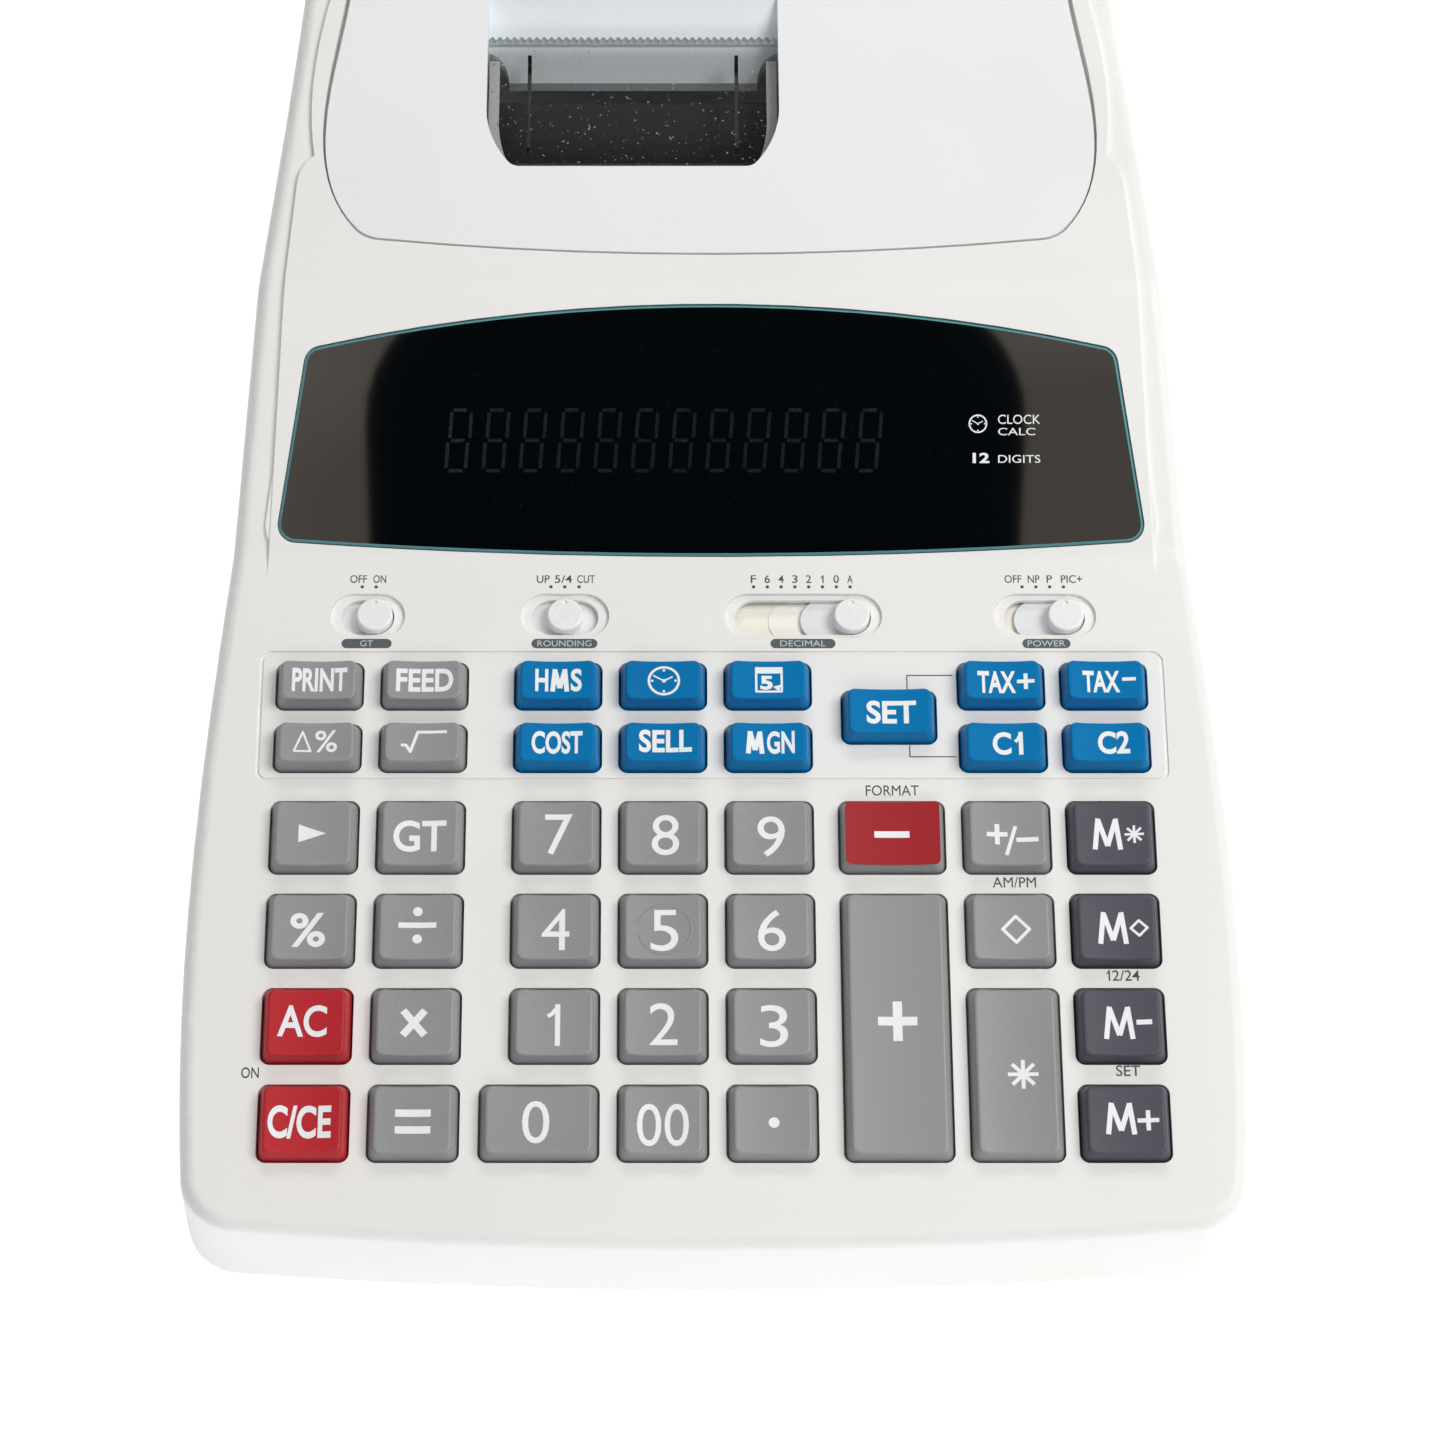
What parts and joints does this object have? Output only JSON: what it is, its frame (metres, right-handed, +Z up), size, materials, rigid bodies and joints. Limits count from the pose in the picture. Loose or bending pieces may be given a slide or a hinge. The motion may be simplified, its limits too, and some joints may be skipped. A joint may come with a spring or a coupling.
{
  "type": "printing desk calculator",
  "caption": "Printing desk calculator with separate keys, slide switches, tilted display lens, hinged printer cover and folding paper roll holder.",
  "frame": {"origin": "on the table under the middle of the body, at the bottom of the rubber feet", "axes": "+Z up, +X to the user's right, -Y towards the user, +Y towards the paper roll"},
  "size_m": [0.2068, 0.325, 0.0816],
  "materials": {
    "housing_plastic": "moulded ABS, fine texture",
    "cover_plastic": "moulded ABS, smooth satin",
    "smoked_window": "smoked clear plastic, polished",
    "lens_plastic": "polished dark acrylic",
    "silicone_rubber": "moulded silicone",
    "circuit_board": "solder-masked laminate",
    "printer_steel": "dark coated steel",
    "platen_rubber": "ground rubber",
    "foot_rubber": "moulded rubber",
    "screw_steel": "zinc-plated",
    "knob_plastic": "smooth moulded",
    "key_grey": "moulded, fine grain",
    "key_blue": "moulded, fine grain",
    "key_red": "moulded, fine grain",
    "key_dark": "moulded, fine grain"
  },
  "bodies": {
    "housing": {"bottom_housing": "housing_plastic", "display_lens": "lens_plastic", "key_dome_sheet": "silicone_rubber", "main_board": "circuit_board", "printer_frame": "printer_steel", "rubber_feet": "foot_rubber", "screws": "screw_steel", "top_housing": "housing_plastic"},
    "cover": {"printer_cover": "cover_plastic", "tear_window": "smoked_window"},
    "holder": {"paper_holder": "cover_plastic"},
    "platen": {"platen_roller": "platen_rubber"},
    "decimal_slide_knob": {"decimal_slide_knob": "knob_plastic"},
    "gt_slide_knob": {"gt_slide_knob": "knob_plastic"},
    "power_slide_knob": {"power_slide_knob": "knob_plastic"},
    "rounding_slide_knob": {"rounding_slide_knob": "knob_plastic"},
    "key_0": {"key_0": "key_grey"},
    "key_1": {"key_1": "key_grey"},
    "key_2": {"key_2": "key_grey"},
    "key_3": {"key_3": "key_grey"},
    "key_4": {"key_4": "key_grey"},
    "key_5": {"key_5": "key_grey"},
    "key_6": {"key_6": "key_grey"},
    "key_7": {"key_7": "key_grey"},
    "key_8": {"key_8": "key_grey"},
    "key_9": {"key_9": "key_grey"},
    "key_add": {"key_add": "key_grey"},
    "key_calendar": {"key_calendar": "key_blue"},
    "key_change_sign": {"key_change_sign": "key_grey"},
    "key_clear_all": {"key_clear_all": "key_red"},
    "key_clear_entry": {"key_clear_entry": "key_red"},
    "key_clock": {"key_clock": "key_blue"},
    "key_convert_1": {"key_convert_1": "key_blue"},
    "key_convert_2": {"key_convert_2": "key_blue"},
    "key_cost": {"key_cost": "key_blue"},
    "key_decimal_point": {"key_decimal_point": "key_grey"},
    "key_divide": {"key_divide": "key_grey"},
    "key_double_zero": {"key_double_zero": "key_grey"},
    "key_equals": {"key_equals": "key_grey"},
    "key_feed": {"key_feed": "key_grey"},
    "key_grand_total": {"key_grand_total": "key_grey"},
    "key_margin": {"key_margin": "key_blue"},
    "key_margin_percent": {"key_margin_percent": "key_grey"},
    "key_memory_add": {"key_memory_add": "key_dark"},
    "key_memory_subtotal": {"key_memory_subtotal": "key_dark"},
    "key_memory_subtract": {"key_memory_subtract": "key_dark"},
    "key_memory_total": {"key_memory_total": "key_dark"},
    "key_multiply": {"key_multiply": "key_grey"},
    "key_percent": {"key_percent": "key_grey"},
    "key_print": {"key_print": "key_grey"},
    "key_sell": {"key_sell": "key_blue"},
    "key_set": {"key_set": "key_blue"},
    "key_shift_right": {"key_shift_right": "key_grey"},
    "key_square_root": {"key_square_root": "key_grey"},
    "key_subtotal": {"key_subtotal": "key_grey"},
    "key_subtract": {"key_subtract": "key_grey"},
    "key_tax_minus": {"key_tax_minus": "key_blue"},
    "key_tax_plus": {"key_tax_plus": "key_blue"},
    "key_time_format": {"key_time_format": "key_blue"},
    "key_total": {"key_total": "key_grey"}
  },
  "joints": [
    {"name": "cover_hinge", "type": "hinge", "parent": "housing", "child": "cover", "pos_m": [0, 0.10659, 0.07808], "axis": [-1, 0, 0], "range_deg": [0, 70]},
    {"name": "holder_hinge", "type": "hinge", "parent": "housing", "child": "holder", "pos_m": [0, 0.15449, 0.0727], "axis": [-1, 0, 0], "range_deg": [0, 110]},
    {"name": "platen_spin", "type": "hinge", "parent": "housing", "child": "platen", "pos_m": [-0.0161, 0.08199, 0.06033], "axis": [1, 0, 0], "continuous": true},
    {"name": "gt_slide", "type": "slide", "parent": "housing", "child": "gt_slide_knob", "axis": [1, 0, 0], "range_m": [-0.0028, 0]},
    {"name": "rounding_slide", "type": "slide", "parent": "housing", "child": "rounding_slide_knob", "axis": [1, 0, 0], "range_m": [-0.0028, 0.0028]},
    {"name": "decimal_slide", "type": "slide", "parent": "housing", "child": "decimal_slide_knob", "axis": [1, 0, 0], "range_m": [-0.0196, 0]},
    {"name": "power_slide", "type": "slide", "parent": "housing", "child": "power_slide_knob", "axis": [1, 0, 0], "range_m": [-0.0084, 0]},
    {"name": "key_0_press", "type": "slide", "parent": "housing", "child": "key_0", "axis": [0, 0.1392, -0.9903], "range_m": [0, 0.0025], "stiffness_N_per_m": 200, "springref_m": -0.0015, "deforming": ["key_dome_sheet"]},
    {"name": "key_1_press", "type": "slide", "parent": "housing", "child": "key_1", "axis": [0, 0.1392, -0.9903], "range_m": [0, 0.0025], "stiffness_N_per_m": 200, "springref_m": -0.0015, "deforming": ["key_dome_sheet"]},
    {"name": "key_2_press", "type": "slide", "parent": "housing", "child": "key_2", "axis": [0, 0.1392, -0.9903], "range_m": [0, 0.0025], "stiffness_N_per_m": 200, "springref_m": -0.0015, "deforming": ["key_dome_sheet"]},
    {"name": "key_3_press", "type": "slide", "parent": "housing", "child": "key_3", "axis": [0, 0.1392, -0.9903], "range_m": [0, 0.0025], "stiffness_N_per_m": 200, "springref_m": -0.0015, "deforming": ["key_dome_sheet"]},
    {"name": "key_4_press", "type": "slide", "parent": "housing", "child": "key_4", "axis": [0, 0.1392, -0.9903], "range_m": [0, 0.0025], "stiffness_N_per_m": 200, "springref_m": -0.0015, "deforming": ["key_dome_sheet"]},
    {"name": "key_5_press", "type": "slide", "parent": "housing", "child": "key_5", "axis": [0, 0.1392, -0.9903], "range_m": [0, 0.0025], "stiffness_N_per_m": 200, "springref_m": -0.0015, "deforming": ["key_dome_sheet"]},
    {"name": "key_6_press", "type": "slide", "parent": "housing", "child": "key_6", "axis": [0, 0.1392, -0.9903], "range_m": [0, 0.0025], "stiffness_N_per_m": 200, "springref_m": -0.0015, "deforming": ["key_dome_sheet"]},
    {"name": "key_7_press", "type": "slide", "parent": "housing", "child": "key_7", "axis": [0, 0.1392, -0.9903], "range_m": [0, 0.0025], "stiffness_N_per_m": 200, "springref_m": -0.0015, "deforming": ["key_dome_sheet"]},
    {"name": "key_8_press", "type": "slide", "parent": "housing", "child": "key_8", "axis": [0, 0.1392, -0.9903], "range_m": [0, 0.0025], "stiffness_N_per_m": 200, "springref_m": -0.0015, "deforming": ["key_dome_sheet"]},
    {"name": "key_9_press", "type": "slide", "parent": "housing", "child": "key_9", "axis": [0, 0.1392, -0.9903], "range_m": [0, 0.0025], "stiffness_N_per_m": 200, "springref_m": -0.0015, "deforming": ["key_dome_sheet"]},
    {"name": "key_add_press", "type": "slide", "parent": "housing", "child": "key_add", "axis": [0, 0.1392, -0.9903], "range_m": [0, 0.0025], "stiffness_N_per_m": 200, "springref_m": -0.0015, "deforming": ["key_dome_sheet"]},
    {"name": "key_calendar_press", "type": "slide", "parent": "housing", "child": "key_calendar", "axis": [0, 0.1392, -0.9903], "range_m": [0, 0.0025], "stiffness_N_per_m": 200, "springref_m": -0.0015, "deforming": ["key_dome_sheet"]},
    {"name": "key_change_sign_press", "type": "slide", "parent": "housing", "child": "key_change_sign", "axis": [0, 0.1392, -0.9903], "range_m": [0, 0.0025], "stiffness_N_per_m": 200, "springref_m": -0.0015, "deforming": ["key_dome_sheet"]},
    {"name": "key_clear_all_press", "type": "slide", "parent": "housing", "child": "key_clear_all", "axis": [0, 0.1392, -0.9903], "range_m": [0, 0.0025], "stiffness_N_per_m": 200, "springref_m": -0.0015, "deforming": ["key_dome_sheet"]},
    {"name": "key_clear_entry_press", "type": "slide", "parent": "housing", "child": "key_clear_entry", "axis": [0, 0.1392, -0.9903], "range_m": [0, 0.0025], "stiffness_N_per_m": 200, "springref_m": -0.0015, "deforming": ["key_dome_sheet"]},
    {"name": "key_clock_press", "type": "slide", "parent": "housing", "child": "key_clock", "axis": [0, 0.1392, -0.9903], "range_m": [0, 0.0025], "stiffness_N_per_m": 200, "springref_m": -0.0015, "deforming": ["key_dome_sheet"]},
    {"name": "key_convert_1_press", "type": "slide", "parent": "housing", "child": "key_convert_1", "axis": [0, 0.1392, -0.9903], "range_m": [0, 0.0025], "stiffness_N_per_m": 200, "springref_m": -0.0015, "deforming": ["key_dome_sheet"]},
    {"name": "key_convert_2_press", "type": "slide", "parent": "housing", "child": "key_convert_2", "axis": [0, 0.1392, -0.9903], "range_m": [0, 0.0025], "stiffness_N_per_m": 200, "springref_m": -0.0015, "deforming": ["key_dome_sheet"]},
    {"name": "key_cost_press", "type": "slide", "parent": "housing", "child": "key_cost", "axis": [0, 0.1392, -0.9903], "range_m": [0, 0.0025], "stiffness_N_per_m": 200, "springref_m": -0.0015, "deforming": ["key_dome_sheet"]},
    {"name": "key_decimal_point_press", "type": "slide", "parent": "housing", "child": "key_decimal_point", "axis": [0, 0.1392, -0.9903], "range_m": [0, 0.0025], "stiffness_N_per_m": 200, "springref_m": -0.0015, "deforming": ["key_dome_sheet"]},
    {"name": "key_divide_press", "type": "slide", "parent": "housing", "child": "key_divide", "axis": [0, 0.1392, -0.9903], "range_m": [0, 0.0025], "stiffness_N_per_m": 200, "springref_m": -0.0015, "deforming": ["key_dome_sheet"]},
    {"name": "key_double_zero_press", "type": "slide", "parent": "housing", "child": "key_double_zero", "axis": [0, 0.1392, -0.9903], "range_m": [0, 0.0025], "stiffness_N_per_m": 200, "springref_m": -0.0015, "deforming": ["key_dome_sheet"]},
    {"name": "key_equals_press", "type": "slide", "parent": "housing", "child": "key_equals", "axis": [0, 0.1392, -0.9903], "range_m": [0, 0.0025], "stiffness_N_per_m": 200, "springref_m": -0.0015, "deforming": ["key_dome_sheet"]},
    {"name": "key_feed_press", "type": "slide", "parent": "housing", "child": "key_feed", "axis": [0, 0.1392, -0.9903], "range_m": [0, 0.0025], "stiffness_N_per_m": 200, "springref_m": -0.0015, "deforming": ["key_dome_sheet"]},
    {"name": "key_grand_total_press", "type": "slide", "parent": "housing", "child": "key_grand_total", "axis": [0, 0.1392, -0.9903], "range_m": [0, 0.0025], "stiffness_N_per_m": 200, "springref_m": -0.0015, "deforming": ["key_dome_sheet"]},
    {"name": "key_margin_press", "type": "slide", "parent": "housing", "child": "key_margin", "axis": [0, 0.1392, -0.9903], "range_m": [0, 0.0025], "stiffness_N_per_m": 200, "springref_m": -0.0015, "deforming": ["key_dome_sheet"]},
    {"name": "key_margin_percent_press", "type": "slide", "parent": "housing", "child": "key_margin_percent", "axis": [0, 0.1392, -0.9903], "range_m": [0, 0.0025], "stiffness_N_per_m": 200, "springref_m": -0.0015, "deforming": ["key_dome_sheet"]},
    {"name": "key_memory_add_press", "type": "slide", "parent": "housing", "child": "key_memory_add", "axis": [0, 0.1392, -0.9903], "range_m": [0, 0.0025], "stiffness_N_per_m": 200, "springref_m": -0.0015, "deforming": ["key_dome_sheet"]},
    {"name": "key_memory_subtotal_press", "type": "slide", "parent": "housing", "child": "key_memory_subtotal", "axis": [0, 0.1392, -0.9903], "range_m": [0, 0.0025], "stiffness_N_per_m": 200, "springref_m": -0.0015, "deforming": ["key_dome_sheet"]},
    {"name": "key_memory_subtract_press", "type": "slide", "parent": "housing", "child": "key_memory_subtract", "axis": [0, 0.1392, -0.9903], "range_m": [0, 0.0025], "stiffness_N_per_m": 200, "springref_m": -0.0015, "deforming": ["key_dome_sheet"]},
    {"name": "key_memory_total_press", "type": "slide", "parent": "housing", "child": "key_memory_total", "axis": [0, 0.1392, -0.9903], "range_m": [0, 0.0025], "stiffness_N_per_m": 200, "springref_m": -0.0015, "deforming": ["key_dome_sheet"]},
    {"name": "key_multiply_press", "type": "slide", "parent": "housing", "child": "key_multiply", "axis": [0, 0.1392, -0.9903], "range_m": [0, 0.0025], "stiffness_N_per_m": 200, "springref_m": -0.0015, "deforming": ["key_dome_sheet"]},
    {"name": "key_percent_press", "type": "slide", "parent": "housing", "child": "key_percent", "axis": [0, 0.1392, -0.9903], "range_m": [0, 0.0025], "stiffness_N_per_m": 200, "springref_m": -0.0015, "deforming": ["key_dome_sheet"]},
    {"name": "key_print_press", "type": "slide", "parent": "housing", "child": "key_print", "axis": [0, 0.1392, -0.9903], "range_m": [0, 0.0025], "stiffness_N_per_m": 200, "springref_m": -0.0015, "deforming": ["key_dome_sheet"]},
    {"name": "key_sell_press", "type": "slide", "parent": "housing", "child": "key_sell", "axis": [0, 0.1392, -0.9903], "range_m": [0, 0.0025], "stiffness_N_per_m": 200, "springref_m": -0.0015, "deforming": ["key_dome_sheet"]},
    {"name": "key_set_press", "type": "slide", "parent": "housing", "child": "key_set", "axis": [0, 0.1392, -0.9903], "range_m": [0, 0.0025], "stiffness_N_per_m": 200, "springref_m": -0.0015, "deforming": ["key_dome_sheet"]},
    {"name": "key_shift_right_press", "type": "slide", "parent": "housing", "child": "key_shift_right", "axis": [0, 0.1392, -0.9903], "range_m": [0, 0.0025], "stiffness_N_per_m": 200, "springref_m": -0.0015, "deforming": ["key_dome_sheet"]},
    {"name": "key_square_root_press", "type": "slide", "parent": "housing", "child": "key_square_root", "axis": [0, 0.1392, -0.9903], "range_m": [0, 0.0025], "stiffness_N_per_m": 200, "springref_m": -0.0015, "deforming": ["key_dome_sheet"]},
    {"name": "key_subtotal_press", "type": "slide", "parent": "housing", "child": "key_subtotal", "axis": [0, 0.1392, -0.9903], "range_m": [0, 0.0025], "stiffness_N_per_m": 200, "springref_m": -0.0015, "deforming": ["key_dome_sheet"]},
    {"name": "key_subtract_press", "type": "slide", "parent": "housing", "child": "key_subtract", "axis": [0, 0.1392, -0.9903], "range_m": [0, 0.0025], "stiffness_N_per_m": 200, "springref_m": -0.0015, "deforming": ["key_dome_sheet"]},
    {"name": "key_tax_minus_press", "type": "slide", "parent": "housing", "child": "key_tax_minus", "axis": [0, 0.1392, -0.9903], "range_m": [0, 0.0025], "stiffness_N_per_m": 200, "springref_m": -0.0015, "deforming": ["key_dome_sheet"]},
    {"name": "key_tax_plus_press", "type": "slide", "parent": "housing", "child": "key_tax_plus", "axis": [0, 0.1392, -0.9903], "range_m": [0, 0.0025], "stiffness_N_per_m": 200, "springref_m": -0.0015, "deforming": ["key_dome_sheet"]},
    {"name": "key_time_format_press", "type": "slide", "parent": "housing", "child": "key_time_format", "axis": [0, 0.1392, -0.9903], "range_m": [0, 0.0025], "stiffness_N_per_m": 200, "springref_m": -0.0015, "deforming": ["key_dome_sheet"]},
    {"name": "key_total_press", "type": "slide", "parent": "housing", "child": "key_total", "axis": [0, 0.1392, -0.9903], "range_m": [0, 0.0025], "stiffness_N_per_m": 200, "springref_m": -0.0015, "deforming": ["key_dome_sheet"]}
  ]
}
